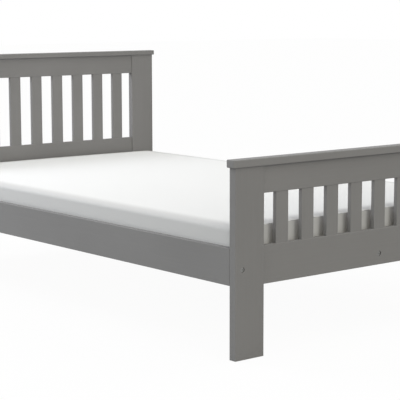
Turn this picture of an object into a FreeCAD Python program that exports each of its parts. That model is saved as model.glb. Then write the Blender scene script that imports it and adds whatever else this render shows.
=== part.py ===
# Slatted wooden bed for a 1.2 by 2.0 m mattress, built as its separate boards and fixings.
# Lengths are in millimetres. X runs across the bed, Y from the foot to the head, Z up.
# The origin is on the floor under the middle of the bed. Left is the side towards -X.
import FreeCAD, Part

import math
import os

# Mattress
mattress_length = 2000.0
mattress_width = 1206.0
mattress_thickness = 106.0
mattress_crown = 3.0
mattress_side_draw = 4.0
mattress_corner_radius = 28.0
mattress_top_ease = 56.0
mattress_top_drop = 14.0
mattress_bottom_ease = 30.0
mattress_side_gap = 2.0
mattress_foot_gap = 9.0
mattress_head_gap = 1.0
mattress_rest_gap = 0.3

# Posts of the head and foot boards
post_width = 115.0
post_thickness = 28.0
leg_clearance = 224.0

# Rails between the posts
panel_thickness = 18.0
lower_rail_height = 120.0
foot_gap_height = 160.0
foot_upper_rail_height = 84.0
head_rail_gap = 40.0
head_middle_rail_height = 84.0
head_gap_height = 294.0
head_upper_rail_height = 81.0

# Upright slats between the rails
panel_slat_count = 9
panel_slat_width = 51.0
panel_slat_thickness = 15.0
panel_end_gap = 54.5

# Caps along the tops
foot_cap_thickness = 24.0
head_cap_thickness = 20.0
cap_front_overhang = 6.0
cap_end_overhang = 10.0

# Side rails, with the ledges and the centre beam that carry the base slats
side_rail_thickness = 22.0
side_rail_height = 115.0
side_rail_rise = 5.0
ledge_width = 30.0
ledge_height = 22.0
ledge_rise = 39.0
beam_thickness = 30.0
beam_height = 58.0

# Base slats
base_slat_count = 14
base_slat_width = 68.0
base_slat_thickness = 12.0
base_slat_side_gap = 5.0
base_slat_end_gap = 6.0

# Eased edges
board_edge_radius = 2.0
slat_edge_radius = 1.5
cap_edge_radius = 3.0
cap_corner_radius = 8.0

# Tenons and the mortises that hold them
tenon_length = 25.0
tenon_thickness = 10.0
tenon_shoulder = 10.0
slat_tenon_length = 12.0
slat_tenon_thickness = 9.0
slat_tenon_shoulder = 5.0
joint_clearance = 0.2
mortise_end_gap = 0.5

# Bolts with barrel nuts
bolt_diameter = 6.0
bolt_length = 65.0
bolt_head_diameter = 15.0
bolt_head_thickness = 2.5
bolt_socket_width = 4.0
bolt_socket_depth = 1.6
bolt_recess_diameter = 16.5
bolt_recess_depth = 5.0
bolt_hole_clearance = 0.25
side_bolt_offset = 6.5
nut_diameter = 10.0
nut_length = 14.0
nut_clearance = 0.1
bolt_end_margin = 1.0

# Dowels
dowel_diameter = 8.0
dowel_length = 36.0
dowel_socket_depth = 12.0
dowel_clearance = 0.1
dowel_chamfer = 1.0
rail_dowel_margin = 30.0
beam_dowel_rise = 12.0
cap_rail_dowel_count = 3

# Countersunk screws
ledge_screw_diameter = 4.0
ledge_screw_length = 42.0
slat_screw_diameter = 3.5
slat_screw_length = 28.0
slat_screw_inset = 15.0
screw_head_share = 2.0
screw_head_slope_share = 0.6
screw_tip_share = 1.0
screw_recess_share = 1.1
screw_recess_width_share = 0.22
screw_recess_depth_share = 0.44
screw_clearance = 0.05

# Floor glides under the posts
glide_diameter = 22.0
glide_thickness = 5.0
glide_proud = 1.0
glide_edge_radius = 0.5
glide_pin_diameter = 3.0
glide_pin_length = 18.0
glide_spacing = 70.0
glide_clearance = 0.1

cut_overrun = 5.0

# Places across the bed
inner_width = mattress_width + 2 * mattress_side_gap
half_inner_width = inner_width / 2
half_width = half_inner_width + side_rail_thickness
half_panel_width = half_width - post_width

# Places along the bed, given for the foot end: the head end mirrors them
inner_length = mattress_length + mattress_foot_gap + mattress_head_gap
half_inner_length = inner_length / 2
post_outer_y = -half_inner_length - post_thickness
post_inner_y = -half_inner_length
post_middle_y = -half_inner_length - post_thickness / 2
panel_outer_y = post_middle_y - panel_thickness / 2
panel_inner_y = post_middle_y + panel_thickness / 2

# Heights
lower_rail_top = leg_clearance + lower_rail_height
foot_upper_rail_bottom = lower_rail_top + foot_gap_height
head_middle_rail_bottom = lower_rail_top + head_rail_gap
head_upper_rail_bottom = head_middle_rail_bottom + head_middle_rail_height + head_gap_height
side_rail_bottom = leg_clearance + side_rail_rise
side_rail_top = side_rail_bottom + side_rail_height
ledge_bottom = side_rail_bottom + ledge_rise
ledge_top = ledge_bottom + ledge_height
base_slat_top = ledge_top + base_slat_thickness
mattress_bottom = base_slat_top + mattress_rest_gap

# Bolts and dowels
side_bolt_x = -half_inner_width + side_bolt_offset
side_bolt_z = ledge_bottom + ledge_height / 2
beam_bolt_z = ledge_top - beam_height / 2
beam_dowel_z = ledge_top - beam_height + beam_dowel_rise
side_rail_middle_x = -half_inner_width - side_rail_thickness / 2
rail_dowel_heights = (side_rail_bottom + rail_dowel_margin, side_rail_top - rail_dowel_margin)
post_middle_x = -half_width + post_width / 2

X_AXIS = FreeCAD.Vector(1, 0, 0)
Y_AXIS = FreeCAD.Vector(0, 1, 0)
Z_AXIS = FreeCAD.Vector(0, 0, 1)
ORIGIN = FreeCAD.Vector(0, 0, 0)


def block(low, high):
    """A box from its lowest to its highest corner."""
    size = [top - bottom for bottom, top in zip(low, high)]
    return Part.makeBox(*size, FreeCAD.Vector(*low))


def rod(start, direction, diameter, length):
    """A round bar from a point, along a direction."""
    return Part.makeCylinder(diameter / 2, length, FreeCAD.Vector(*start), direction)


def board(low, high, grain, radius):
    """A box whose four edges along the grain are rounded."""
    plain = block(low, high)
    edges = []
    for edge in plain.Edges:
        run = edge.Vertexes[-1].Point - edge.Vertexes[0].Point
        if abs(run.normalize().dot(grain)) > 0.5:
            edges.append(edge)
    return plain.makeFillet(radius, edges)


def across(shape):
    """The same shape on the other side of the bed."""
    return shape.mirror(ORIGIN, X_AXIS)


def endwise(shape):
    """The same shape at the other end of the bed."""
    return shape.mirror(ORIGIN, Y_AXIS)


def joined(*shapes):
    """One solid made of touching shapes."""
    return shapes[0].fuse(list(shapes[1:])).removeSplitter()


def group(shapes):
    """Separate solids that share one node."""
    return Part.makeCompound(shapes)


def with_tenons(body, core, grain, length):
    """A board with a tenon at both ends of its core, which is given by its two corners."""
    reach = [abs(part) * length for part in grain]
    low = [value - step for value, step in zip(core[0], reach)]
    high = [value + step for value, step in zip(core[1], reach)]
    return joined(body, block(low, high))


def tenon_pocket(core, grain, length):
    """The pockets for both tenons of a core, wider all round and deeper at their ends."""
    reach = [joint_clearance + abs(part) * (length + mortise_end_gap) for part in grain]
    low = [value - step for value, step in zip(core[0], reach)]
    high = [value + step for value, step in zip(core[1], reach)]
    return block(low, high)


def dowel(start, direction):
    """A dowel with chamfered ends, starting in its socket."""
    bar = rod(start, direction, dowel_diameter, dowel_length)
    rims = [edge for edge in bar.Edges if edge.Closed]
    return bar.makeChamfer(dowel_chamfer, rims)


def dowel_socket(start, direction):
    """The round pocket for the whole of one dowel, in both of the pieces that it joins."""
    return rod(start, direction, dowel_diameter + 2 * dowel_clearance, dowel_length)


def hexagon_bar(start, direction, width, length):
    """A six-sided bar along +Y, of a given width across its flats."""
    corner = width / math.sqrt(3)
    points = []
    for step in range(7):
        angle = math.pi / 3 * step
        offset = FreeCAD.Vector(corner * math.cos(angle), 0, corner * math.sin(angle))
        points.append(FreeCAD.Vector(*start) + offset)
    return Part.Face(Part.makePolygon(points)).extrude(direction * length)


def bolt(x, outer_face_y, z):
    """A flat-headed bolt along +Y, its head sunk below the outer face of a board."""
    seat_y = outer_face_y + bolt_recess_depth
    head_y = seat_y - bolt_head_thickness
    head = rod((x, head_y, z), Y_AXIS, bolt_head_diameter, bolt_head_thickness)
    shank = rod((x, head_y, z), Y_AXIS, bolt_diameter, bolt_head_thickness + bolt_length)
    socket = hexagon_bar((x, head_y, z), Y_AXIS, bolt_socket_width, bolt_socket_depth)
    return joined(head, shank).cut(socket)


def bolt_hole(x, outer_face_y, z):
    """The recess for a bolt's head and the hole for its whole shank."""
    seat_y = outer_face_y + bolt_recess_depth
    recess = rod((x, outer_face_y - cut_overrun, z), Y_AXIS, bolt_recess_diameter,
                 bolt_recess_depth + cut_overrun)
    hole = rod((x, seat_y, z), Y_AXIS, bolt_diameter + 2 * bolt_hole_clearance,
               bolt_length + bolt_end_margin)
    return joined(recess, hole)


def nut_centre_y(outer_face_y):
    """Where the middle of a barrel nut lies, so that its bolt passes right through it."""
    return outer_face_y + bolt_recess_depth + bolt_length - nut_diameter / 2 - bolt_end_margin


def barrel_nut(x, y, z, direction):
    """A barrel nut centred on its bolt's axis, with the bolt's bore across it."""
    centre = FreeCAD.Vector(x, y, z)
    barrel = rod(centre - direction * (nut_length / 2), direction, nut_diameter, nut_length)
    bore = rod((x, y - nut_diameter, z), Y_AXIS, bolt_diameter + 2 * nut_clearance, 2 * nut_diameter)
    return barrel.cut(bore)


def nut_hole(x, y, z, direction, reach):
    """The hole for a barrel nut, from beyond the nut's far end to the open side of its board."""
    centre = FreeCAD.Vector(x, y, z)
    return rod(centre - direction * (nut_length / 2), direction,
               nut_diameter + 2 * nut_clearance, nut_length / 2 + reach + cut_overrun)


def screw_profile(start, direction, diameter, length, growth):
    """A countersunk head, shank and point, made larger all round by a growth."""
    start = FreeCAD.Vector(*start)
    head_radius = diameter * screw_head_share / 2 + growth
    shank_radius = diameter / 2 + growth
    slope = diameter * screw_head_slope_share
    tip = diameter * screw_tip_share
    head = Part.makeCone(head_radius, shank_radius, slope, start, direction)
    shank = Part.makeCylinder(shank_radius, length - slope - tip, start + direction * slope, direction)
    point = Part.makeCone(shank_radius, 0, tip, start + direction * (length - tip), direction)
    return joined(head, shank, point)


def screw(start, direction, side, diameter, length):
    """A countersunk screw with a cross recess. Side is any direction across the screw."""
    body = screw_profile(start, direction, diameter, length, 0)
    arm = diameter * screw_recess_share
    width = diameter * screw_recess_width_share
    depth = diameter * screw_recess_depth_share
    other = direction.cross(side)
    for along, beside in ((side, other), (other, side)):
        corner = FreeCAD.Vector(*start) - along * (arm / 2) - beside * (width / 2)
        path = [corner, corner + along * arm, corner + along * arm + beside * width,
                corner + beside * width, corner]
        body = body.cut(Part.Face(Part.makePolygon(path)).extrude(direction * depth))
    return body


# Head and foot boards, both drawn at the foot end

def panel_slat_centres():
    """Places of the upright slats across the bed."""
    first = -half_panel_width + panel_end_gap + panel_slat_width / 2
    pitch = -2 * first / (panel_slat_count - 1)
    return [first + pitch * number for number in range(panel_slat_count)]


def cap_dowel_places():
    """Where the cap's dowels stand: one in each post, the others along the upper rail."""
    spaces = cap_rail_dowel_count + 1
    places = [post_middle_x, -post_middle_x]
    for number in range(1, spaces):
        places.append(-half_panel_width + 2 * half_panel_width * number / spaces)
    return places


def cap_dowel_start(x, board_top):
    """The lower end of a cap dowel."""
    return x, post_middle_y, board_top + dowel_socket_depth - dowel_length


def rail_core(bottom, height):
    """The two corners of the core of a rail, which goes on beyond its ends as its tenons."""
    low = (-half_panel_width, post_middle_y - tenon_thickness / 2, bottom + tenon_shoulder)
    high = (half_panel_width, post_middle_y + tenon_thickness / 2, bottom + height - tenon_shoulder)
    return low, high


def slat_core(centre_x, bottom, top):
    """The two corners of the core of an upright slat, which goes on as its tenons."""
    half_tenon = panel_slat_width / 2 - slat_tenon_shoulder
    low = (centre_x - half_tenon, post_middle_y - slat_tenon_thickness / 2, bottom)
    high = (centre_x + half_tenon, post_middle_y + slat_tenon_thickness / 2, top)
    return low, high


def glide_places():
    """Where the two glides of the left post stand."""
    return [post_middle_x - glide_spacing / 2, post_middle_x + glide_spacing / 2]


def left_post(board_top, rails):
    """The left post, with pockets for its rails, bolt, dowels and glides."""
    post = board((-half_width, post_outer_y, glide_proud),
                 (-half_width + post_width, post_inner_y, board_top), Z_AXIS, board_edge_radius)
    tools = [bolt_hole(side_bolt_x, post_outer_y, side_bolt_z)]
    for bottom, height in rails:
        tools.append(tenon_pocket(rail_core(bottom, height), X_AXIS, tenon_length))
    for height in rail_dowel_heights:
        tools.append(dowel_socket(rail_dowel_start(height), Y_AXIS))
    tools.append(dowel_socket(cap_dowel_start(post_middle_x, board_top), Z_AXIS))
    for x in glide_places():
        tools.append(glide_socket(x))
    return post.cut(tools)


def panel_rail(bottom, height, tools):
    """A rail between the posts, with its two tenons, cut by the tools that reach it."""
    rail = board((-half_panel_width, panel_outer_y, bottom),
                 (half_panel_width, panel_inner_y, bottom + height), X_AXIS, board_edge_radius)
    return with_tenons(rail, rail_core(bottom, height), X_AXIS, tenon_length).cut(tools)


def slat_pockets(bottom, top):
    """The pockets that the upright slats need in the rails below and above them."""
    return [tenon_pocket(slat_core(x, bottom, top), Z_AXIS, slat_tenon_length)
            for x in panel_slat_centres()]


def beam_pockets():
    """The bolt's hole and the dowel's socket for the centre beam, in the lowest rail."""
    return [bolt_hole(0, panel_outer_y, beam_bolt_z), dowel_socket(beam_dowel_start(), Y_AXIS)]


def cap_pockets(board_top):
    """The sockets of the cap's dowels, in the cap and in what it lies on."""
    return [dowel_socket(cap_dowel_start(x, board_top), Z_AXIS) for x in cap_dowel_places()]


def panel_slat(centre_x, bottom, top):
    """An upright slat with a tenon at each end."""
    slat = board((centre_x - panel_slat_width / 2, post_middle_y - panel_slat_thickness / 2, bottom),
                 (centre_x + panel_slat_width / 2, post_middle_y + panel_slat_thickness / 2, top),
                 Z_AXIS, slat_edge_radius)
    return with_tenons(slat, slat_core(centre_x, bottom, top), Z_AXIS, slat_tenon_length)


def cap(board_top, thickness):
    """The cap along the top of a board, with rounded corners and all its edges eased."""
    shelf = block((-half_width - cap_end_overhang, post_outer_y - cap_front_overhang, board_top),
                  (half_width + cap_end_overhang, post_inner_y + cap_front_overhang, board_top + thickness))
    uprights = [edge for edge in shelf.Edges if edge.BoundBox.ZLength > thickness / 2]
    shelf = shelf.makeFillet(cap_corner_radius, uprights)
    rims = [edge for edge in shelf.Edges if edge.BoundBox.ZLength < thickness / 2]
    shelf = shelf.makeFillet(cap_edge_radius, rims)
    return shelf.cut(cap_pockets(board_top))


# Side rails, ledges, beam and base slats

def rail_dowel_start(height):
    """The outer end of a dowel between the left side rail and its foot post."""
    return side_rail_middle_x, post_inner_y - dowel_socket_depth, height


def beam_dowel_start():
    """The outer end of the dowel between the centre beam and the foot board."""
    return 0, panel_inner_y - dowel_socket_depth, beam_dowel_z


def base_slat_centres():
    """Places of the base slats along the bed."""
    first = -half_inner_length + base_slat_end_gap + base_slat_width / 2
    pitch = -2 * first / (base_slat_count - 1)
    return [first + pitch * number for number in range(base_slat_count)]


def ledge_screw_places():
    """Places of the ledge screws along the bed, halfway between two base slats."""
    centres = base_slat_centres()
    return [(centres[number] + centres[number + 1]) / 2 for number in range(0, base_slat_count - 1, 2)]


def ledge_screw_start(y):
    """The head of a screw through the left ledge."""
    return -half_inner_width + ledge_width, y, side_bolt_z


def slat_screw_places():
    """Places of a base slat's screws across the bed: both ledges and the beam."""
    end = half_inner_width - base_slat_side_gap - slat_screw_inset
    return [-end, 0, end]


def slat_screw_hole(x, y):
    """The hole of one base slat screw, through the slat and into what carries it."""
    return screw_profile((x, y, base_slat_top), -Z_AXIS, slat_screw_diameter, slat_screw_length,
                         screw_clearance)


def ledge_screw_hole(y):
    """The hole of one ledge screw, through the ledge and into the side rail."""
    return screw_profile(ledge_screw_start(y), -X_AXIS, ledge_screw_diameter, ledge_screw_length,
                         screw_clearance)


def left_side_rail():
    """The left side rail, with its dowel sockets and the pilot holes of its ledge screws."""
    rail = board((-half_width, -half_inner_length, side_rail_bottom),
                 (-half_inner_width, half_inner_length, side_rail_top), Y_AXIS, board_edge_radius)
    tools = [ledge_screw_hole(y) for y in ledge_screw_places()]
    for height in rail_dowel_heights:
        socket = dowel_socket(rail_dowel_start(height), Y_AXIS)
        tools += [socket, endwise(socket)]
    return rail.cut(tools)


def left_ledge():
    """The batten inside the left side rail that carries the slats and takes the post bolts."""
    ledge = board((-half_inner_width, -half_inner_length, ledge_bottom),
                  (-half_inner_width + ledge_width, half_inner_length, ledge_top),
                  Y_AXIS, slat_edge_radius)
    hole = bolt_hole(side_bolt_x, post_outer_y, side_bolt_z)
    nut = nut_hole(side_bolt_x, nut_centre_y(post_outer_y), side_bolt_z, -Z_AXIS, ledge_height / 2)
    tools = [hole, nut, endwise(hole), endwise(nut)]
    tools += [ledge_screw_hole(y) for y in ledge_screw_places()]
    tools += [slat_screw_hole(slat_screw_places()[0], y) for y in base_slat_centres()]
    return ledge.cut(tools)


def centre_beam():
    """The beam under the middle of the base slats, from board to board."""
    beam = board((-beam_thickness / 2, panel_inner_y, ledge_top - beam_height),
                 (beam_thickness / 2, -panel_inner_y, ledge_top), Y_AXIS, slat_edge_radius)
    hole = bolt_hole(0, panel_outer_y, beam_bolt_z)
    nut = nut_hole(0, nut_centre_y(panel_outer_y), beam_bolt_z, X_AXIS, beam_thickness / 2)
    socket = dowel_socket(beam_dowel_start(), Y_AXIS)
    tools = [hole, nut, socket, endwise(hole), endwise(nut), endwise(socket)]
    tools += [slat_screw_hole(0, y) for y in base_slat_centres()]
    return beam.cut(tools)


def base_slat(y):
    """One slat across the bed, with its three screw holes."""
    end = half_inner_width - base_slat_side_gap
    slat = board((-end, y - base_slat_width / 2, ledge_top),
                 (end, y + base_slat_width / 2, base_slat_top), X_AXIS, board_edge_radius)
    return slat.cut([slat_screw_hole(x, y) for x in slat_screw_places()])


# Mattress

def drawn_side(start, end, inward):
    """One side of the mattress's outline: a shallow arc drawn in between two corners."""
    middle = (start + end) / 2 + inward * mattress_side_draw
    return Part.Arc(start, middle, end).toShape()


def mattress_outline():
    """The mattress seen from above: four sides drawn in a little, with square corners."""
    half_x = mattress_width / 2
    low_y = -half_inner_length + mattress_foot_gap
    high_y = half_inner_length - mattress_head_gap
    corners = [FreeCAD.Vector(half_x, high_y, 0), FreeCAD.Vector(-half_x, high_y, 0),
               FreeCAD.Vector(-half_x, low_y, 0), FreeCAD.Vector(half_x, low_y, 0)]
    inwards = [-Y_AXIS, X_AXIS, Y_AXIS, -X_AXIS]
    return Part.Wire([drawn_side(start, end, inward) for start, end, inward
                      in zip(corners, corners[1:] + corners[:1], inwards)])


def mattress():
    """The mattress: sides drawn in, edges eased further over than down, and a crowned top."""
    tall = mattress_thickness + mattress_crown
    squeeze = mattress_top_drop / mattress_top_ease
    stretched = tall / squeeze
    plain = Part.Face(mattress_outline()).extrude(Z_AXIS * stretched)
    eased = plain.makeFillet(mattress_top_ease,
                             [edge for edge in plain.Edges if edge.BoundBox.ZMin > stretched / 2])
    eased = eased.makeFillet(mattress_bottom_ease,
                             [edge for edge in eased.Edges if edge.BoundBox.ZMax < mattress_bottom_ease])
    cornered = plain.makeFillet(mattress_corner_radius,
                                [edge for edge in plain.Edges if edge.BoundBox.ZLength > stretched / 2])
    flattening = FreeCAD.Matrix()
    flattening.scale(1, 1, squeeze)
    body = eased.common(cornered).transformGeometry(flattening)
    body.translate(Z_AXIS * mattress_bottom)
    half_x = mattress_width / 2
    arch_radius = (half_x ** 2 + mattress_crown ** 2) / (2 * mattress_crown)
    arch_centre = (0, -mattress_length, mattress_bottom + tall - arch_radius)
    return body.common(rod(arch_centre, Y_AXIS, 2 * arch_radius, 2 * mattress_length))


# Glides

def glide(x):
    """A round nylon glide with its pin, under the left foot post."""
    disc = rod((x, post_middle_y, 0), Z_AXIS, glide_diameter, glide_thickness)
    rims = [edge for edge in disc.Edges if edge.Closed and edge.BoundBox.ZMax < glide_proud]
    disc = disc.makeFillet(glide_edge_radius, rims)
    pin = rod((x, post_middle_y, 0), Z_AXIS, glide_pin_diameter, glide_thickness + glide_pin_length)
    return joined(disc, pin)


def glide_socket(x):
    """The pocket for a glide and its pin, in the sole of the left post."""
    grown = 2 * glide_clearance
    disc = rod((x, post_middle_y, -cut_overrun), Z_AXIS, glide_diameter + grown,
               glide_thickness + cut_overrun)
    pin = rod((x, post_middle_y, 0), Z_AXIS, glide_pin_diameter + grown,
              glide_thickness + glide_pin_length + glide_clearance)
    return joined(disc, pin)


# Assembly

def add_end_board(pieces, end, rails, slat_span, cap_thickness, place):
    """Adds the posts, rails, slats and cap of one end. Rails run from the lowest up."""
    board_top = rails[-1][1] + rails[-1][2]
    spans = [(bottom, height) for _, bottom, height in rails]
    post = place(left_post(board_top, spans))
    pieces[f"{end}_post_left"] = post
    pieces[f"{end}_post_right"] = across(post)
    tools = slat_pockets(*slat_span) + beam_pockets() + cap_pockets(board_top)
    for name, bottom, height in rails:
        pieces[f"{end}_{name}_rail"] = place(panel_rail(bottom, height, tools))
    for number, x in enumerate(panel_slat_centres(), 1):
        pieces[f"{end}_slat_{number}"] = place(panel_slat(x, *slat_span))
    pieces[f"{end}_cap"] = place(cap(board_top, cap_thickness))
    return [place(dowel(cap_dowel_start(x, board_top), Z_AXIS)) for x in cap_dowel_places()]


def build():
    """All the pieces of the bed, by name."""
    pieces = {}
    foot_rails = [("lower", leg_clearance, lower_rail_height),
                  ("upper", foot_upper_rail_bottom, foot_upper_rail_height)]
    head_rails = [("bottom", leg_clearance, lower_rail_height),
                  ("middle", head_middle_rail_bottom, head_middle_rail_height),
                  ("upper", head_upper_rail_bottom, head_upper_rail_height)]
    foot_slat_span = (lower_rail_top, foot_upper_rail_bottom)
    head_slat_span = (head_middle_rail_bottom + head_middle_rail_height, head_upper_rail_bottom)
    cap_dowels = add_end_board(pieces, "foot", foot_rails, foot_slat_span, foot_cap_thickness,
                               lambda shape: shape)
    cap_dowels += add_end_board(pieces, "head", head_rails, head_slat_span, head_cap_thickness, endwise)

    pieces["side_rail_left"] = left_side_rail()
    pieces["side_rail_right"] = across(pieces["side_rail_left"])
    pieces["slat_ledge_left"] = left_ledge()
    pieces["slat_ledge_right"] = across(pieces["slat_ledge_left"])
    pieces["centre_beam"] = centre_beam()
    for number, y in enumerate(base_slat_centres(), 1):
        pieces[f"base_slat_{number}"] = base_slat(y)
    pieces["mattress"] = mattress()

    side_bolt = bolt(side_bolt_x, post_outer_y, side_bolt_z)
    side_nut = barrel_nut(side_bolt_x, nut_centre_y(post_outer_y), side_bolt_z, Z_AXIS)
    beam_bolt = bolt(0, panel_outer_y, beam_bolt_z)
    beam_nut = barrel_nut(0, nut_centre_y(panel_outer_y), beam_bolt_z, X_AXIS)
    pieces["side_rail_bolts"] = group(at_four_corners([side_bolt]))
    pieces["side_rail_barrel_nuts"] = group(at_four_corners([side_nut]))
    pieces["centre_beam_bolts"] = group([beam_bolt, endwise(beam_bolt)])
    pieces["centre_beam_barrel_nuts"] = group([beam_nut, endwise(beam_nut)])

    rail_dowels = [dowel(rail_dowel_start(height), Y_AXIS) for height in rail_dowel_heights]
    beam_dowel = dowel(beam_dowel_start(), Y_AXIS)
    pieces["locating_dowels"] = group(at_four_corners(rail_dowels) + [beam_dowel, endwise(beam_dowel)])
    pieces["cap_dowels"] = group(cap_dowels)

    ledge_screws = [screw(ledge_screw_start(y), -X_AXIS, Y_AXIS, ledge_screw_diameter, ledge_screw_length)
                    for y in ledge_screw_places()]
    pieces["ledge_screws"] = group(ledge_screws + [across(one) for one in ledge_screws])
    slat_screws = []
    for y in base_slat_centres():
        for x in slat_screw_places():
            start = (x, y, base_slat_top)
            slat_screws.append(screw(start, -Z_AXIS, X_AXIS, slat_screw_diameter, slat_screw_length))
    pieces["base_slat_screws"] = group(slat_screws)
    pieces["floor_glides"] = group(at_four_corners([glide(x) for x in glide_places()]))
    return pieces


def at_four_corners(shapes):
    """Copies of what is drawn at the left foot corner, at all four corners."""
    foot = shapes + [across(shape) for shape in shapes]
    return foot + [endwise(shape) for shape in foot]


def main():
    """Builds every piece and writes it to its own file."""
    os.makedirs("parts", exist_ok=True)
    for name, shape in build().items():
        shape.exportStep(f"parts/{name}.step")
        print(f"{name}: {len(shape.Solids)} solid(s), {shape.Volume / 1000:.1f} cm3, valid {shape.isValid()}")


main()
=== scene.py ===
"""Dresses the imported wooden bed: painted boards, a bare slatted base, steel fixings and a mattress.

Every size is in metres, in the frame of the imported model: X across the bed, Y from the foot to
the head, Z up, with the origin on the floor under the middle of the bed. Left is towards -X.
"""

import logging
import math
from dataclasses import dataclass
from enum import Enum
from itertools import product

import bmesh
import bpy
from mathutils import Matrix, Vector


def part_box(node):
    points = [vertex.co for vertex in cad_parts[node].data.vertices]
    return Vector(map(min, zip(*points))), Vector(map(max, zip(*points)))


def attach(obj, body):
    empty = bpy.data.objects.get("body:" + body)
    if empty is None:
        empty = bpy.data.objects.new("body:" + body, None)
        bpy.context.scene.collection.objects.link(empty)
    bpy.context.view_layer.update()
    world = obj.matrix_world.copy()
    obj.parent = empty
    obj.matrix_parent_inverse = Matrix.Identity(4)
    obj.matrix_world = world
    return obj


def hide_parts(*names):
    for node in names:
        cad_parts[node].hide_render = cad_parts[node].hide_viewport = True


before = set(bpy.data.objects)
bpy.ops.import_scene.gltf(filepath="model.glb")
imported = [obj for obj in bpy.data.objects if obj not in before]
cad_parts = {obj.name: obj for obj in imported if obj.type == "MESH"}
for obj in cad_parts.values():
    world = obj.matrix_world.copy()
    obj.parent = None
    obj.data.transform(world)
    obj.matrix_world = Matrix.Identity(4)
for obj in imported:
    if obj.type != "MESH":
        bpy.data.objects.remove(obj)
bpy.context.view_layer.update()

Triple = tuple[float, float, float]
Colour = Triple
Range = tuple[float, float]
Socket = bpy.types.NodeSocket

LOG = logging.getLogger("bed")
MILLIMETRE = 0.001
BOARD_NUMBER = "board_number"
WHITE: Colour = (1.0, 1.0, 1.0)
# Most values of a noise lie between these two.
NOISE_RANGE: Range = (0.3, 0.7)


class End(Enum):
    """The two ends of the bed."""

    FOOT = "foot"
    HEAD = "head"


class Grain(Enum):
    """The way the fibres of a board run, by axis number."""

    ACROSS = 0
    ALONG = 1
    UPRIGHT = 2

    def scales(self, along: float, across: float = 1.0) -> Triple:
        """A scale for each axis: one along the fibres and another across them."""
        return tuple(along if axis == self.value else across for axis in range(3))


def srgb(red: int, green: int, blue: int) -> Colour:
    """A linear colour from the 0 to 255 values that a picture shows, by the sRGB curve.

    Args:
        red: Red, 0 to 255.
        green: Green, 0 to 255.
        blue: Blue, 0 to 255.

    Returns:
        The linear colour.
    """
    shares = (value / 255 for value in (red, green, blue))
    return tuple(((share + 0.055) / 1.055) ** 2.4 if share > 0.04045 else share / 12.92
                 for share in shares)


def opaque(colour: Colour) -> tuple[float, float, float, float]:
    """The colour with full alpha, as a shader socket takes it."""
    return (*colour, 1.0)


def put(name: str, data: bpy.types.ID) -> bpy.types.Object:
    """Makes an object and puts it in the scene.

    Args:
        name: The object's name.
        data: Its mesh, lamp or camera.

    Returns:
        The object.
    """
    made = bpy.data.objects.new(name, data)
    bpy.context.scene.collection.objects.link(made)
    return made


@dataclass(frozen=True)
class Figure:
    """A soft noise: the size of its blots, its number of finer layers and their strength."""

    spacing: float
    layers: float = 2.0
    layer_strength: float = 0.5


class Nodes:
    """The node tree of a material or a world, with short calls for the nodes used here."""

    def __init__(self, owner: bpy.types.Material | bpy.types.World) -> None:
        """Starts with an empty tree.

        Args:
            owner: The material or world.
        """
        owner.use_nodes = True
        self.tree = owner.node_tree
        self.tree.nodes.clear()

    def feed(self, target: Socket, value: object) -> None:
        """Links an input to a socket, or sets its value.

        Args:
            target: The input.
            value: The socket to link it to, or its value.
        """
        if isinstance(value, Socket):
            self.tree.links.new(value, target)
        else:
            target.default_value = value

    def add(self, kind: str, inputs: dict[int | str, object] | None = None,
            **settings: object) -> bpy.types.Node:
        """Adds a node.

        Args:
            kind: The node's type name.
            inputs: Values or sockets for its inputs, by name or number.
            **settings: Attributes to set on the node first.

        Returns:
            The new node.
        """
        node = self.tree.nodes.new(kind)
        for key, value in settings.items():
            setattr(node, key, value)
        for key, value in (inputs or {}).items():
            self.feed(node.inputs[key], value)
        return node

    def number(self, operation: str, *inputs: object) -> Socket:
        """The number that a calculation gives."""
        return self.add("ShaderNodeMath", dict(enumerate(inputs)), operation=operation).outputs[0]

    def vector(self, operation: str, *inputs: object) -> Socket:
        """The vector that a vector calculation gives."""
        node = self.add("ShaderNodeVectorMath", dict(enumerate(inputs)), operation=operation)
        return node.outputs["Vector"]

    def scaled(self, value: Socket | Triple, by: Socket) -> Socket:
        """A colour or a vector times a number."""
        node = self.add("ShaderNodeVectorMath", {0: value, "Scale": by}, operation="SCALE")
        return node.outputs["Vector"]

    def map_range(self, value: Socket, source: Range, target: Range,
                  curve: str = "LINEAR") -> Socket:
        """A number stretched from one range to another, held inside the second.

        Args:
            value: The number.
            source: The range it comes from.
            target: The range it goes to.
            curve: How it runs from one end to the other.

        Returns:
            The stretched number.
        """
        inputs = {"Value": value, "From Min": source[0], "From Max": source[1],
                  "To Min": target[0], "To Max": target[1]}
        return self.add("ShaderNodeMapRange", inputs, interpolation_type=curve).outputs["Result"]

    def mix(self, by: Socket, first: Socket | tuple[float, ...],
            second: Socket | tuple[float, ...]) -> Socket:
        """Two colours mixed.

        Args:
            by: The share of the second colour.
            first: The first colour.
            second: The second colour.

        Returns:
            The mixed colour.
        """
        node = self.add("ShaderNodeMix", data_type="RGBA")
        targets = {socket.identifier: socket for socket in node.inputs}
        for name, value in (("Factor_Float", by), ("A_Color", first), ("B_Color", second)):
            self.feed(targets[name], value)
        return next(socket for socket in node.outputs if socket.identifier == "Result_Color")

    def seen(self) -> Socket:
        """Tells the rays that show a surface from those that light it.

        Returns:
            1 for rays from the camera, off gloss or through glass, 0 for the others.
        """
        rays = self.add("ShaderNodeLightPath").outputs
        seen = rays["Is Camera Ray"]
        for ray in ("Is Glossy Ray", "Is Transmission Ray"):
            seen = self.number("MAXIMUM", seen, rays[ray])
        return seen


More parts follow.
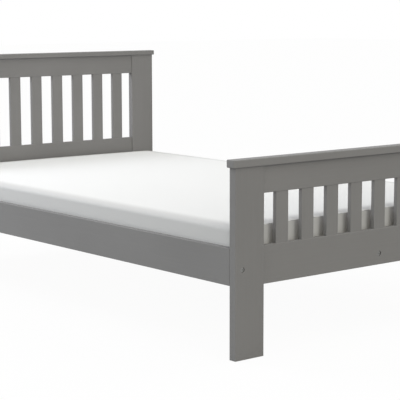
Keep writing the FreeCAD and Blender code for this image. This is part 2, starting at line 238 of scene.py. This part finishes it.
class Shader(Nodes):
    """A material under construction around one Principled shader."""

    def __init__(self, name: str) -> None:
        """Makes a material that holds only its output and a Principled shader.

        Args:
            name: The material's name.
        """
        self.material = bpy.data.materials.new(name)
        super().__init__(self.material)
        self.surface = self.add("ShaderNodeBsdfPrincipled")
        self.add("ShaderNodeOutputMaterial", {"Surface": self.surface.outputs["BSDF"]})

    def set(self, **values: object) -> None:
        """Sets or links inputs of the Principled shader. Underscores stand for spaces."""
        for key, value in values.items():
            self.feed(self.surface.inputs[key.replace("_", " ")], value)

    def position(self) -> Socket:
        """The point on the piece in the bed's own frame, in metres."""
        return self.add("ShaderNodeTexCoord").outputs["Object"]

    def own_place(self, step: Triple) -> Socket:
        """The point on the piece, moved on for each board so that none repeats another's figure.

        Args:
            step: How far it moves from one board number to the next.

        Returns:
            The moved point.
        """
        number = self.add("ShaderNodeAttribute", attribute_type="OBJECT",
                          attribute_name=BOARD_NUMBER).outputs["Fac"]
        return self.vector("ADD", self.position(), self.scaled(step, number))

    def noise(self, at: Socket, figure: Figure) -> Socket:
        """A soft noise from 0 to 1 at a point.

        Args:
            at: The point.
            figure: The noise's size and layers.

        Returns:
            The noise's value.
        """
        inputs = {"Vector": at, "Scale": 1.0 / figure.spacing, "Detail": figure.layers,
                  "Roughness": figure.layer_strength}
        return self.add("ShaderNodeTexNoise", inputs).outputs["Fac"]

    def ramp(self, by: Socket, *stops: tuple[float, Colour]) -> Socket:
        """A colour picked from stops along 0 to 1.

        Args:
            by: Where to pick it.
            *stops: The place and the colour of each stop, in order.

        Returns:
            The colour.
        """
        node = self.add("ShaderNodeValToRGB", {"Fac": by})
        points = node.color_ramp.elements
        while len(points) < len(stops):
            points.new(0.5)
        for point, (place, colour) in zip(points, stops):
            point.position = place
            point.color = opaque(colour)
        return node.outputs["Color"]

    def bump(self, height: Socket, depth: float, strength: float = 1.0,
             under: Socket | None = None) -> Socket:
        """The normal that a height gives.

        Args:
            height: The height, 0 to 1.
            depth: The height in metres that 1 stands for.
            strength: How strongly it shows, 0 to 1.
            under: An earlier normal that this one lies over.

        Returns:
            The normal.
        """
        inputs = {"Height": height, "Distance": depth, "Strength": strength}
        if under is not None:
            inputs["Normal"] = under
        return self.add("ShaderNodeBump", inputs).outputs["Normal"]


@dataclass(frozen=True)
class SatinPaint:
    """Warm grey satin paint over planed pine, whose grain still shows faintly."""

    colour: Colour = srgb(140, 139, 139)
    roughness: Range = (0.68, 0.76)
    specular: float = 0.18
    board_step: Triple = (1.0, 0.0, 0.0)
    stretch: float = 28.0
    fibres: Figure = Figure(7 * MILLIMETRE, 4.0, 0.6)
    fibre_shade: Range = (0.985, 1.015)
    fibre_depth: float = 0.05 * MILLIMETRE
    stipple: Figure = Figure(1.6 * MILLIMETRE)
    stipple_depth: float = 0.02 * MILLIMETRE
    cloud: Figure = Figure(1 / 3)
    cloud_shade: Range = (0.96, 1.04)

    def material(self, grain: Grain) -> bpy.types.Material:
        """The paint on boards whose fibres run one way.

        Args:
            grain: The way the fibres run.

        Returns:
            The material.
        """
        shader = Shader(f"satin_paint_{grain.name.lower()}")
        own = shader.own_place(self.board_step)
        along = shader.vector("MULTIPLY", own, grain.scales(1.0 / self.stretch))
        fibres = shader.noise(along, self.fibres)
        stipple = shader.noise(own, self.stipple)
        cloud = shader.noise(own, self.cloud)
        level = shader.number("MULTIPLY", shader.map_range(cloud, NOISE_RANGE, self.cloud_shade),
                              shader.map_range(fibres, NOISE_RANGE, self.fibre_shade))
        normal = shader.bump(fibres, self.fibre_depth)
        shader.set(Base_Color=shader.scaled(self.colour, level),
                   Roughness=shader.map_range(cloud, NOISE_RANGE, self.roughness),
                   Normal=shader.bump(stipple, self.stipple_depth, under=normal),
                   Specular_IOR_Level=self.specular)
        return shader.material


@dataclass(frozen=True)
class BarePine:
    """Planed pine with no finish: pale wood, darker late growth and a few knots.

    The rings are bands cut from a noise that is stretched along the fibres. In each, the wood
    stays pale until late_start and is darkest at late_peak.
    """

    pale: Colour = srgb(226, 198, 154)
    dark: Colour = srgb(190, 146, 94)
    knot: Colour = srgb(112, 70, 38)
    roughness: float = 0.68
    specular: float = 0.3
    board_step: Triple = (3.7, 3.7, 3.7)
    stretch: float = 22.0
    rings: Figure = Figure(36 * MILLIMETRE, 1.5, 0.4)
    ring_count: float = 9.0
    late_start: float = 0.55
    late_peak: float = 0.9
    knots_per_metre_along: float = 3.0
    knots_per_metre_across: float = 9.0
    knot_rim: Range = (0.05, 0.09)
    fibres: Figure = Figure(1.2 * MILLIMETRE, 3.0, 0.6)
    fibre_range: Range = (0.25, 0.75)
    fibre_shade: Range = (0.93, 1.05)
    fibre_depth: float = 0.06 * MILLIMETRE

    def material(self, grain: Grain) -> bpy.types.Material:
        """The wood of boards whose fibres run one way.

        Args:
            grain: The way the fibres run.

        Returns:
            The material.
        """
        shader = Shader(f"bare_pine_{grain.name.lower()}")
        own = shader.own_place(self.board_step)
        along = shader.vector("MULTIPLY", own, grain.scales(1.0 / self.stretch))
        rings = shader.number("MULTIPLY", shader.noise(along, self.rings), self.ring_count)
        wood = shader.ramp(shader.number("FRACT", rings), (0.0, self.pale),
                           (self.late_start, self.pale), (self.late_peak, self.dark),
                           (1.0, self.pale))
        knot_scales = grain.scales(self.knots_per_metre_along, self.knots_per_metre_across)
        cells = shader.add("ShaderNodeTexVoronoi",
                           {"Vector": shader.vector("MULTIPLY", own, knot_scales), "Scale": 1.0})
        knots = shader.map_range(cells.outputs["Distance"], self.knot_rim, (1.0, 0.0))
        colour = shader.mix(knots, wood, opaque(self.knot))
        fibres = shader.noise(along, self.fibres)
        shade = shader.map_range(fibres, self.fibre_range, self.fibre_shade)
        shader.set(Base_Color=shader.scaled(colour, shade), Roughness=self.roughness,
                   Normal=shader.bump(fibres, self.fibre_depth), Specular_IOR_Level=self.specular)
        return shader.material


@dataclass(frozen=True)
class BareBeech:
    """Turned beech with no finish: even, slightly pink wood with short dark flecks."""

    pale: Colour = srgb(222, 188, 150)
    fleck: Colour = srgb(168, 120, 84)
    roughness: float = 0.6
    specular: float = 0.3
    stretch: float = 7.0
    flecks: Figure = Figure(1.5 * MILLIMETRE, 2.0, 0.55)
    fleck_rim: Range = (0.56, 0.68)
    fleck_depth: float = 0.04 * MILLIMETRE

    def material(self, grain: Grain) -> bpy.types.Material:
        """The wood of dowels whose fibres run one way.

        Args:
            grain: The way the fibres run.

        Returns:
            The material.
        """
        shader = Shader(f"bare_beech_{grain.name.lower()}")
        along = shader.vector("MULTIPLY", shader.position(), grain.scales(1.0 / self.stretch))
        flecks = shader.noise(along, self.flecks)
        start, full = self.fleck_rim
        colour = shader.ramp(flecks, (0.0, self.pale), (start, self.pale), (full, self.fleck),
                             (1.0, self.fleck))
        shader.set(Base_Color=colour, Roughness=self.roughness,
                   Normal=shader.bump(flecks, self.fleck_depth), Specular_IOR_Level=self.specular)
        return shader.material


@dataclass(frozen=True)
class ZincSteel:
    """Dulled zinc plated steel, slightly mottled."""

    colour: Colour = srgb(134, 134, 132)
    roughness: Range = (0.3, 0.45)
    spots: Figure = Figure(2.5 * MILLIMETRE, 3.0, 0.6)
    spot_shade: Range = (0.88, 1.05)
    spot_depth: float = 0.02 * MILLIMETRE

    def material(self) -> bpy.types.Material:
        """The plating.

        Returns:
            The material.
        """
        shader = Shader("zinc_steel")
        spots = shader.noise(shader.position(), self.spots)
        shade = shader.map_range(spots, NOISE_RANGE, self.spot_shade)
        shader.set(Base_Color=shader.scaled(self.colour, shade), Metallic=1.0,
                   Roughness=shader.map_range(spots, NOISE_RANGE, self.roughness),
                   Normal=shader.bump(spots, self.spot_depth))
        return shader.material


@dataclass(frozen=True)
class Nylon:
    """Moulded nylon with a faint grain."""

    colour: Colour = srgb(70, 70, 68)
    roughness: float = 0.55
    grain: Figure = Figure(MILLIMETRE / 1.5)
    grain_shade: Range = (0.94, 1.06)
    grain_depth: float = 0.02 * MILLIMETRE

    def material(self) -> bpy.types.Material:
        """The moulded surface.

        Returns:
            The material.
        """
        shader = Shader("nylon")
        grain = shader.noise(shader.position(), self.grain)
        shade = shader.map_range(grain, NOISE_RANGE, self.grain_shade)
        shader.set(Base_Color=shader.scaled(self.colour, shade), Roughness=self.roughness,
                   Normal=shader.bump(grain, self.grain_depth))
        return shader.material


@dataclass(frozen=True)
class KnittedCover:
    """The mattress's knitted cover, white on top and light grey from the rounded rim down.

    The grey is partly the border's own colour and partly painted shade of the sides. The colour
    turns between two distances outward from the line where the rim starts, as painted shade over
    the rolled edge. The border gets a little lighter from the upper of two heights to the lower,
    as painted light that offsets the shade along the side rails.
    """

    top_colour: Colour = srgb(238, 238, 238)
    # Light grey: partly the border's own colour, partly painted shade of the mattress's sides.
    border_colour_and_shade: Colour = srgb(211, 211, 211)
    roughness: float = 0.85
    specular: float = 0.2
    sheen: float = 0.1
    centre: tuple[float, float] = (0.0, 0.004)
    half_size: tuple[float, float] = (0.603, 1.0)
    # The rim and its turn place painted shade that greys the cover over its rolled edge.
    rim: float = 80 * MILLIMETRE
    rim_shade_turn: Range = (2 * MILLIMETRE, 66 * MILLIMETRE)
    squareness: float = 4.0
    # Between these heights the border is lightened: painted light that offsets the shade along the
    # side rails.
    painted_light_heights: Range = (0.385, 0.350)
    painted_light_gain: Range = (1.0, 1.08)
    stitch_spacing: float = 2.6 * MILLIMETRE
    stitch_depth: float = 0.12 * MILLIMETRE
    stitch_range: Range = (0.0, 0.8)
    stitch_shade: Range = (0.985, 1.0)
    fuzz: Figure = Figure(0.8 * MILLIMETRE, 3.0, 0.6)
    fuzz_depth: float = 0.05 * MILLIMETRE
    bump_strength: float = 0.6

    def rim_shade_share(self, shader: Shader) -> Socket:
        """How far a point is over the rim, from 0 on the top to 1 on the border.

        Args:
            shader: The shader that the calculation goes into.

        Returns:
            The share.
        """
        # The share sets painted shade: it greys the cover over the rolled edge.
        moved = shader.vector("SUBTRACT", shader.position(), (*self.centre, 0.0))
        inner = (*(half - self.rim for half in self.half_size), 0.0)
        past = shader.vector("SUBTRACT", shader.vector("ABSOLUTE", moved), inner)
        past = shader.vector("MAXIMUM", past, (0.0, 0.0, 0.0))
        parts = shader.add("ShaderNodeSeparateXYZ", {0: past}).outputs
        powers = [shader.number("POWER", parts[axis], self.squareness) for axis in ("X", "Y")]
        length = shader.number("POWER", shader.number("ADD", *powers), 1.0 / self.squareness)
        return shader.map_range(length, self.rim_shade_turn, (0.0, 1.0), "SMOOTHSTEP")

    def material(self) -> bpy.types.Material:
        """The cover.

        Returns:
            The material.
        """
        shader = Shader("knitted_cover")
        place = shader.position()
        # White top to grey border: painted shade over the rolled edge and down the sides, partly the
        # border's own grey.
        colour = shader.mix(self.rim_shade_share(shader), opaque(self.top_colour),
                            opaque(self.border_colour_and_shade))
        stitches = shader.add("ShaderNodeTexVoronoi",
                              {"Vector": place, "Scale": 1.0 / self.stitch_spacing})
        loops = stitches.outputs["Distance"]
        fuzz = shader.noise(place, self.fuzz)
        normal = shader.bump(loops, self.stitch_depth, self.bump_strength)
        normal = shader.bump(fuzz, self.fuzz_depth, self.bump_strength, normal)
        # Painted light: the border grows lighter towards its bottom, offsetting the shade along the
        # side rails.
        height = shader.add("ShaderNodeSeparateXYZ", {0: place}).outputs["Z"]
        painted_light = shader.map_range(height, self.painted_light_heights, self.painted_light_gain)
        darker = shader.map_range(loops, self.stitch_range, self.stitch_shade)
        shade = shader.number("MULTIPLY", painted_light, darker)
        shader.set(Base_Color=shader.scaled(colour, shade), Roughness=self.roughness,
                   Normal=normal, Specular_IOR_Level=self.specular, Sheen_Weight=self.sheen)
        return shader.material


def paint_over(piece: bpy.types.Object, material: bpy.types.Material) -> None:
    """Gives a piece one material, in place of any it has."""
    piece.data.materials.clear()
    piece.data.materials.append(material)


@dataclass
class Boards:
    """A set of the frame's own boards that share one finish and one way of the grain."""

    names: list[str]
    finish: SatinPaint | BarePine | BareBeech
    grain: Grain
    slot: str

    def dress(self, first_number: int) -> int:
        """Gives each board its material and its number.

        Args:
            first_number: The number of the first board.

        Returns:
            The number after the last board's.
        """
        material = self.finish.material(self.grain)
        for number, name in enumerate(self.names, first_number):
            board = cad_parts[name]
            paint_over(board, material)
            board[BOARD_NUMBER] = float(number)
            LOG.info("board %s: %s", name, material.name)
        return first_number + len(self.names)


@dataclass
class EndBoard:
    """The head or foot board: posts, rails, slats and a cap."""

    end: End
    rails: tuple[str, ...]
    slats: int = 9

    def groups(self, paint: SatinPaint) -> list[Boards]:
        """The board's pieces in sets of one grain.

        Args:
            paint: The paint on all of them.

        Returns:
            The upright pieces, then those that lie across the bed.
        """
        end = self.end.value
        upright = [f"{end}_post_left", f"{end}_post_right"]
        upright += [f"{end}_slat_{number}" for number in range(1, self.slats + 1)]
        lying = [f"{end}_{rail}_rail" for rail in self.rails] + [f"{end}_cap"]
        return [Boards(upright, paint, Grain.UPRIGHT, "painted_wood"),
                Boards(lying, paint, Grain.ACROSS, "painted_wood")]


@dataclass
class SlattedBase:
    """The ledges and the centre beam, with the slats that lie on them."""

    slats: int = 14

    def groups(self, pine: BarePine) -> list[Boards]:
        """The base's pieces in sets of one grain.

        Args:
            pine: The wood of all of them.

        Returns:
            The ledges and the beam, then the slats.
        """
        bearers = ["slat_ledge_left", "slat_ledge_right", "centre_beam"]
        slats = [f"base_slat_{number}" for number in range(1, self.slats + 1)]
        return [Boards(bearers, pine, Grain.ALONG, "bare_pine"),
                Boards(slats, pine, Grain.ACROSS, "bare_pine")]


@dataclass
class Fixings:
    """The bolts, nuts, screws and glides."""

    steel: tuple[str, ...] = ("side_rail_bolts", "side_rail_barrel_nuts", "centre_beam_bolts",
                              "centre_beam_barrel_nuts", "ledge_screws", "base_slat_screws")
    glides: str = "floor_glides"

    def dress(self) -> None:
        """Gives each kind of fixing its material."""
        steel = ZincSteel().material()
        for name in self.steel:
            paint_over(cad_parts[name], steel)
            LOG.info("fixings %s", name)
        paint_over(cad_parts[self.glides], Nylon().material())
        LOG.info("fixings %s", self.glides)


@dataclass(frozen=True)
class Roll:
    """How an edge of the mattress turns over: part of an ellipse, or of a squarer curve like one.

    The width is how far in from the outline the edge starts, and the drop how far down or up it
    ends. The turn is in degrees.
    """

    width: float
    drop: float
    turn: float
    squareness: float = 2.0

    def across(self, share: float) -> float:
        """How far out the edge has come, from 0 to 1, at a share of its turn."""
        turn = math.radians(self.turn)
        return (math.sin(share * turn) / math.sin(turn)) ** (2 / self.squareness)

    def down(self, share: float) -> float:
        """How far down the edge has come, in metres, at a share of its turn."""
        turn, power = math.radians(self.turn), 2 / self.squareness
        return self.drop * (1 - math.cos(share * turn) ** power) / (1 - math.cos(turn) ** power)


@dataclass(frozen=True)
class Swelling:
    """A short cloth simulation that swells the mattress's top panel with air pressure."""

    frames: int = 20
    limit: float = 4 * MILLIMETRE
    quality: int = 6
    mass: float = 0.4
    pressure: float = 4.0
    stretch_stiffness: float = 25.0
    shear_stiffness: float = 15.0
    bending_stiffness: float = 8.0
    air_damping: float = 4.0

    def apply(self, piece: bpy.types.Object, held: str) -> None:
        """Runs the simulation, then limits how far any point has moved.

        Args:
            piece: The block to swell.
            held: The vertex group of the points that stay where they are.
        """
        start = [vertex.co.copy() for vertex in piece.data.vertices]
        cloth = piece.modifiers.new("swelling", "CLOTH")
        settings = cloth.settings
        settings.quality = self.quality
        settings.mass = self.mass
        settings.tension_stiffness = settings.compression_stiffness = self.stretch_stiffness
        settings.shear_stiffness = self.shear_stiffness
        settings.bending_stiffness = self.bending_stiffness
        settings.air_damping = self.air_damping
        settings.use_pressure = True
        settings.uniform_pressure_force = self.pressure
        settings.effector_weights.gravity = 0.0
        settings.vertex_group_mass = held
        cloth.collision_settings.use_collision = False
        cloth.point_cache.frame_start = 1
        cloth.point_cache.frame_end = self.frames
        scene = bpy.context.scene
        for number in range(1, self.frames + 1):
            scene.frame_set(number)
        swelled = piece.evaluated_get(bpy.context.evaluated_depsgraph_get())
        moved = [vertex.co.copy() for vertex in swelled.data.vertices]
        piece.modifiers.remove(cloth)
        scene.frame_set(1)
        for vertex, old, new in zip(piece.data.vertices, start, moved):
            move = new - old
            limit = self.limit * (1 - vertex.groups[0].weight)
            if move.length > limit:
                move *= limit / move.length
            vertex.co = old + move
        piece.data.update()


@dataclass
class Mattress:
    """The loose mattress: a padded block whose cover swells as cloth and keeps near the foam.

    The sides are drawn in between the corners and bulge a little halfway up. The top falls
    towards the long sides by the crown, and starts lower than its room by the slack, which is
    what the swelling may take up. The cloth is held at the sides and bottom, and less and less
    over the rims of the top. The mesh lines lie closer together over the rims. Those on the
    sides lie at the shares of the height in side_layers.
    """

    node: str = "mattress"
    cover: KnittedCover = KnittedCover()
    side_roll: Roll = Roll(width=50 * MILLIMETRE, drop=19 * MILLIMETRE, turn=90.0, squareness=3.2)
    end_roll: Roll = Roll(width=40 * MILLIMETRE, drop=4.5 * MILLIMETRE, turn=45.0)
    bottom_roll: Roll = Roll(width=40 * MILLIMETRE, drop=9 * MILLIMETRE, turn=80.0)
    crown: float = 3 * MILLIMETRE
    side_draw: float = 4 * MILLIMETRE
    side_bulge: float = 2 * MILLIMETRE
    corner_squareness: float = 4.0
    top_slack: float = 4 * MILLIMETRE
    swelling: Swelling = Swelling()
    held: str = "held"
    hold_power: int = 4
    mesh_step: float = 22 * MILLIMETRE
    rim_steps: int = 10
    side_layers: tuple[float, ...] = (0.0, 0.03, 0.1, 0.22, 0.36, 0.5, 0.64, 0.78, 0.9, 0.97, 1.0)

    def build(self) -> bpy.types.Object:
        """Makes the mattress, dresses it and puts it in the place of its plain solid.

        Returns:
            The finished piece.
        """
        low, high = (Vector(corner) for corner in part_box(self.node))
        piece = self.block(low, high)
        self.swelling.apply(piece, self.held)
        self.hold_inside(piece, low, high)
        smooth = piece.modifiers.new("rounding", "SUBSURF")
        smooth.levels = smooth.render_levels = 1
        for face in piece.data.polygons:
            face.use_smooth = True
        paint_over(piece, self.cover.material())
        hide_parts(self.node)
        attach(piece, "mattress")
        LOG.info("mattress: %d points", len(piece.data.vertices))
        return piece

    def rims(self) -> tuple[float, float]:
        """The widths of the side roll and of the end roll."""
        return self.side_roll.width, self.end_roll.width

    def stations(self, low: float, high: float, margin: float) -> list[float]:
        """Places of the mesh lines along one side, closer together within the margin at each end.

        Args:
            low: Where the side starts.
            high: Where it ends.
            margin: The width of the close stretch at each end.

        Returns:
            The places, from low to high.
        """
        start, end = low + margin, high - margin
        middle_steps = round((end - start) / self.mesh_step)
        near = [low + margin * step / self.rim_steps for step in range(self.rim_steps)]
        middle = [start + (end - start) * step / middle_steps for step in range(middle_steps)]
        far = [end + margin * step / self.rim_steps for step in range(self.rim_steps + 1)]
        return near + middle + far

    def block(self, low: Vector, high: Vector) -> bpy.types.Object:
        """The mattress before it swells: a rolled, crowned block, a little lower than its room.

        Args:
            low: The lowest corner of its room.
            high: The highest corner of its room.

        Returns:
            The piece. Its vertex group holds the sides and bottom fully, and the flat part of
            the top not at all.
        """
        high = high - Vector((0.0, 0.0, self.top_slack))
        side_rim, end_rim = self.rims()
        sides = (self.stations(low.x, high.x, side_rim), self.stations(low.y, high.y, end_rim),
                 [low.z + (high.z - low.z) * share for share in self.side_layers])
        last = [len(side) - 1 for side in sides]
        mesh = bmesh.new()
        points: dict[tuple[int, ...], bmesh.types.BMVert] = {}
        holds: list[float] = []

        def point(*steps: int) -> bmesh.types.BMVert:
            """The mesh point at a step on each of the three sides, made when first asked for.

            Args:
                *steps: The step on each side.

            Returns:
                The point.
            """
            if steps not in points:
                place = Vector([side[step] for side, step in zip(sides, steps)])
                points[steps] = mesh.verts.new(self.rolled(place, low, high))
                past = max(self.past_rims(place, low, high)) if steps[2] == last[2] else 1.0
                holds.append(past ** self.hold_power)
            return points[steps]

        for axis in range(3):
            first, second = (axis + 1) % 3, (axis + 2) % 3
            for end in (0, last[axis]):
                for i, j in product(range(last[first]), range(last[second])):
                    corners = []
                    for a, b in ((i, j), (i + 1, j), (i + 1, j + 1), (i, j + 1)):
                        steps = [0, 0, 0]
                        steps[axis], steps[first], steps[second] = end, a, b
                        corners.append(point(*steps))
                    mesh.faces.new(corners if end else corners[::-1])
        data = bpy.data.meshes.new("padded_mattress")
        mesh.to_mesh(data)
        mesh.free()
        piece = put("padded_mattress", data)
        group = piece.vertex_groups.new(name=self.held)
        for number, weight in enumerate(holds):
            group.add([number], weight, "REPLACE")
        return piece

    def past_rims(self, place: Vector, low: Vector, high: Vector) -> list[float]:
        """How far a point is past the start of the side roll and of the end roll.

        Args:
            place: The point on a plain block.
            low: The block's lowest corner.
            high: The block's highest corner.

        Returns:
            The shares of the two rolls, 0 where they start and 1 at the outline.
        """
        middle, half = (low + high) / 2, (high - low) / 2
        return [max(0.0, abs(place[axis] - middle[axis]) - half[axis] + rim) / rim
                for axis, rim in enumerate(self.rims())]

    def rolled(self, place: Vector, low: Vector, high: Vector) -> Vector:
        """Moves a point of a plain block onto the mattress's form.

        The edges turn over as their rolls say. From above, the corners are squarer than a circle's.

        Args:
            place: The point on the block.
            low: The block's lowest corner.
            high: The block's highest corner.

        Returns:
            The point on the form.
        """
        middle, half = (low + high) / 2, (high - low) / 2
        past = self.past_rims(place, low, high)
        share = max(past)
        height = (place.z - low.z) / (high.z - low.z)
        sideways = scale = 0.0
        if share > 0.0:
            powers = [part ** self.corner_squareness for part in past]
            sideways = powers[0] / sum(powers)
            scale = share / sum(powers) ** (1 / self.corner_squareness)
        rolls = (self.side_roll, self.end_roll)
        side_down, end_down = (roll.down(share) for roll in rolls)
        side_across, end_across = (roll.across(share) for roll in rolls)
        ceiling = high.z - sideways * side_down - (1 - sideways) * end_down
        if share >= 1.0:
            floor = low.z + self.bottom_roll.drop
            level = floor + (ceiling - floor) * height
            out = 1.0
        elif height < 0.5:
            level = low.z + self.bottom_roll.down(share)
            out = self.bottom_roll.across(share)
        else:
            level = ceiling
            out = sideways * side_across + (1 - sideways) * end_across
        moved = Vector((place.x, place.y, level))
        for axis, rim in enumerate(self.rims()):
            if past[axis] > 0.0:
                reach = half[axis] - rim + past[axis] / share * out * scale * rim
                moved[axis] = middle[axis] + math.copysign(reach, place[axis] - middle[axis])
        across, along = (moved.x - middle.x) / half.x, (moved.y - middle.y) / half.y
        bulge = self.side_bulge * math.sin(math.pi * height) if share >= 1.0 else 0.0
        draw = self.side_draw - bulge
        return Vector((moved.x - across * draw * (1 - along ** 2),
                       moved.y - along * draw * (1 - across ** 2),
                       moved.z - self.crown * across ** 2 * height))

    def hold_inside(self, piece: bpy.types.Object, low: Vector, high: Vector) -> None:
        """Keeps the mattress off the slats, side rails and end boards.

        Args:
            piece: The mattress.
            low: The lowest corner of its room.
            high: The highest corner of its room.
        """
        for vertex in piece.data.vertices:
            vertex.co = [min(max(part, least), most)
                         for part, least, most in zip(vertex.co, low, high)]
        piece.data.update()


def hang(lamp: bpy.types.Light, place: Vector, towards: Vector) -> None:
    """Puts a lamp in the room.

    Args:
        lamp: The lamp's data.
        place: Where it hangs.
        towards: The way from what it lights to the lamp.
    """
    holder = put(lamp.name, lamp)
    holder.location = place
    holder.rotation_euler = towards.to_track_quat("Z", "Y").to_euler()


@dataclass(frozen=True)
class FarLamp:
    """A large soft lamp, far off, of which only the direction counts, not where it stands.

    Its turn runs from the foot end towards the right. Turn, rise and spread are in degrees.
    """

    name: str
    turn: float
    rise: float
    strength: float
    colour: Colour = WHITE
    spread: float = 25.0
    stand: Triple = (0.0, 0.0, 3.0)

    def place(self) -> None:
        """Hangs the lamp."""
        lamp = bpy.data.lights.new(self.name, "SUN")
        lamp.energy = self.strength
        lamp.angle = math.radians(self.spread)
        lamp.color = self.colour
        turn, rise = math.radians(self.turn), math.radians(self.rise)
        towards = Vector((math.sin(turn) * math.cos(rise), -math.cos(turn) * math.cos(rise),
                          math.sin(rise)))
        hang(lamp, Vector(self.stand), towards)


@dataclass(frozen=True)
class NearLamp:
    """A square soft box near the bed, aimed at a point of it."""

    name: str
    where: Triple
    watts: float
    size: float
    colour: Colour = WHITE
    aim: Triple = (0.0, 0.0, 0.4)

    def place(self) -> None:
        """Hangs the lamp."""
        lamp = bpy.data.lights.new(self.name, "AREA")
        lamp.energy = self.watts
        lamp.size = self.size
        lamp.color = self.colour
        hang(lamp, Vector(self.where), Vector(self.where) - Vector(self.aim))


@dataclass
class Studio:
    """A white room: pale floor, even light from all round and soft lamps.

    The floor has one colour for the light it sends back to the bed and another where it is seen.
    The glow is the share of plain white in what is seen of it.
    """

    floor_size: float = 60.0
    sky_strength: float = 0.4
    floor_colour: Colour = (0.45, 0.45, 0.45)
    floor_seen_colour: Colour = (0.9, 0.9, 0.9)
    floor_glow: float = 0.955
    lamps: tuple[FarLamp | NearLamp, ...] = (
        NearLamp("foot_box", where=(0.0, -8.5, 3.8), watts=107.0, size=3.5,
                 colour=(1.0, 0.98, 0.87), aim=(0.0, -1.0, 0.4)),
        FarLamp("near_corner_lamp", turn=-45.0, rise=25.0, strength=0.24, colour=(1.0, 0.9, 0.65)),
        FarLamp("left_lamp", turn=-90.0, rise=25.0, strength=0.46, colour=(0.87, 0.97, 1.0)),
        FarLamp("right_lamp", turn=90.0, rise=40.0, strength=0.9, colour=(0.99, 1.0, 0.97)),
        FarLamp("high_lamp", turn=0.0, rise=62.0, strength=0.46, colour=(1.0, 0.98, 0.9),
                spread=30.0),
        FarLamp("back_lamp", turn=180.0, rise=8.0, strength=1.0),
        NearLamp("head_left_box", where=(-1.8, 2.2, 2.6), watts=51.0, size=1.3,
                 colour=(0.9, 0.92, 1.0)),
    )

    def build(self) -> None:
        """Makes the floor, the world and the lamps."""
        self.make_world()
        self.make_floor()
        for lamp in self.lamps:
            lamp.place()

    def make_world(self) -> None:
        """A pale, even sky that shows as plain white."""
        world = bpy.data.worlds.new("room")
        bpy.context.scene.world = world
        nodes = Nodes(world)
        strength = nodes.map_range(nodes.seen(), (0.0, 1.0), (self.sky_strength, 1.0))
        sky = nodes.add("ShaderNodeBackground", {"Color": opaque(WHITE), "Strength": strength})
        nodes.add("ShaderNodeOutputWorld", {"Surface": sky.outputs[0]})

    def make_floor(self) -> None:
        """A wide pale floor that keeps a faint shadow of the bed."""
        half = self.floor_size / 2
        corners = [(-half, -half, 0), (half, -half, 0), (half, half, 0), (-half, half, 0)]
        mesh = bpy.data.meshes.new("floor")
        mesh.from_pydata(corners, [], [(0, 1, 2, 3)])
        floor = put("floor", mesh)
        material = bpy.data.materials.new("pale_floor")
        nodes = Nodes(material)
        seen = nodes.seen()
        colour = nodes.mix(seen, opaque(self.floor_colour), opaque(self.floor_seen_colour))
        diffuse = nodes.add("ShaderNodeBsdfDiffuse", {"Color": colour})
        glow = nodes.add("ShaderNodeEmission")
        share = nodes.number("MULTIPLY", seen, self.floor_glow)
        blend = nodes.add("ShaderNodeMixShader",
                          {"Fac": share, 1: diffuse.outputs[0], 2: glow.outputs[0]})
        nodes.add("ShaderNodeOutputMaterial", {"Surface": blend.outputs[0]})
        mesh.materials.append(material)


@dataclass
class PhotoCamera:
    """The camera that took the photo, worked out from the bed's straight edges in it.

    The turn runs from straight along the bed towards the right. The angles are in degrees.
    """

    place: Triple = (-3.3172, -4.1406, 1.0631)
    turn: float = 39.412
    dip: float = 7.886
    roll: float = -0.113
    focal_pixels: float = 1398.29
    picture_width: float = 400.0
    sensor_width: float = 36.0

    def build(self) -> bpy.types.Object:
        """Makes the camera and sets it as the scene's.

        Returns:
            The camera.
        """
        turn, dip, roll = (math.radians(angle) for angle in (self.turn, self.dip, self.roll))
        forward = Vector((math.sin(turn) * math.cos(dip), math.cos(turn) * math.cos(dip),
                          -math.sin(dip)))
        level = Vector((math.cos(turn), -math.sin(turn), 0.0))
        rise = level.cross(forward)
        right = level * math.cos(roll) + rise * math.sin(roll)
        up = right.cross(forward)
        data = bpy.data.cameras.new("photo_camera")
        data.sensor_width = self.sensor_width
        data.lens = self.focal_pixels / self.picture_width * self.sensor_width
        camera = put("photo_camera", data)
        turned = Matrix((right, up, -forward)).transposed()
        camera.matrix_world = Matrix.Translation(Vector(self.place)) @ turned.to_4x4()
        bpy.context.scene.camera = camera
        return camera


def main() -> None:
    """Builds the camera, the room and every sub-assembly's looks."""
    logging.basicConfig(level=logging.INFO, format="%(name)s: %(message)s")
    bpy.context.scene.view_settings.view_transform = "Standard"
    PhotoCamera().build()
    Studio().build()
    paint, beech = SatinPaint(), BareBeech()
    sets = [
        *EndBoard(End.FOOT, ("lower", "upper")).groups(paint),
        *EndBoard(End.HEAD, ("bottom", "middle", "upper")).groups(paint),
        Boards(["side_rail_left", "side_rail_right"], paint, Grain.ALONG, "painted_wood"),
        *SlattedBase().groups(BarePine()),
        Boards(["locating_dowels"], beech, Grain.ALONG, "dowel_wood"),
        Boards(["cap_dowels"], beech, Grain.UPRIGHT, "dowel_wood"),
    ]
    number = 1
    for boards in sets:
        number = boards.dress(number)
    Fixings().dress()
    Mattress().build()


if __name__ == "__main__":
    main()
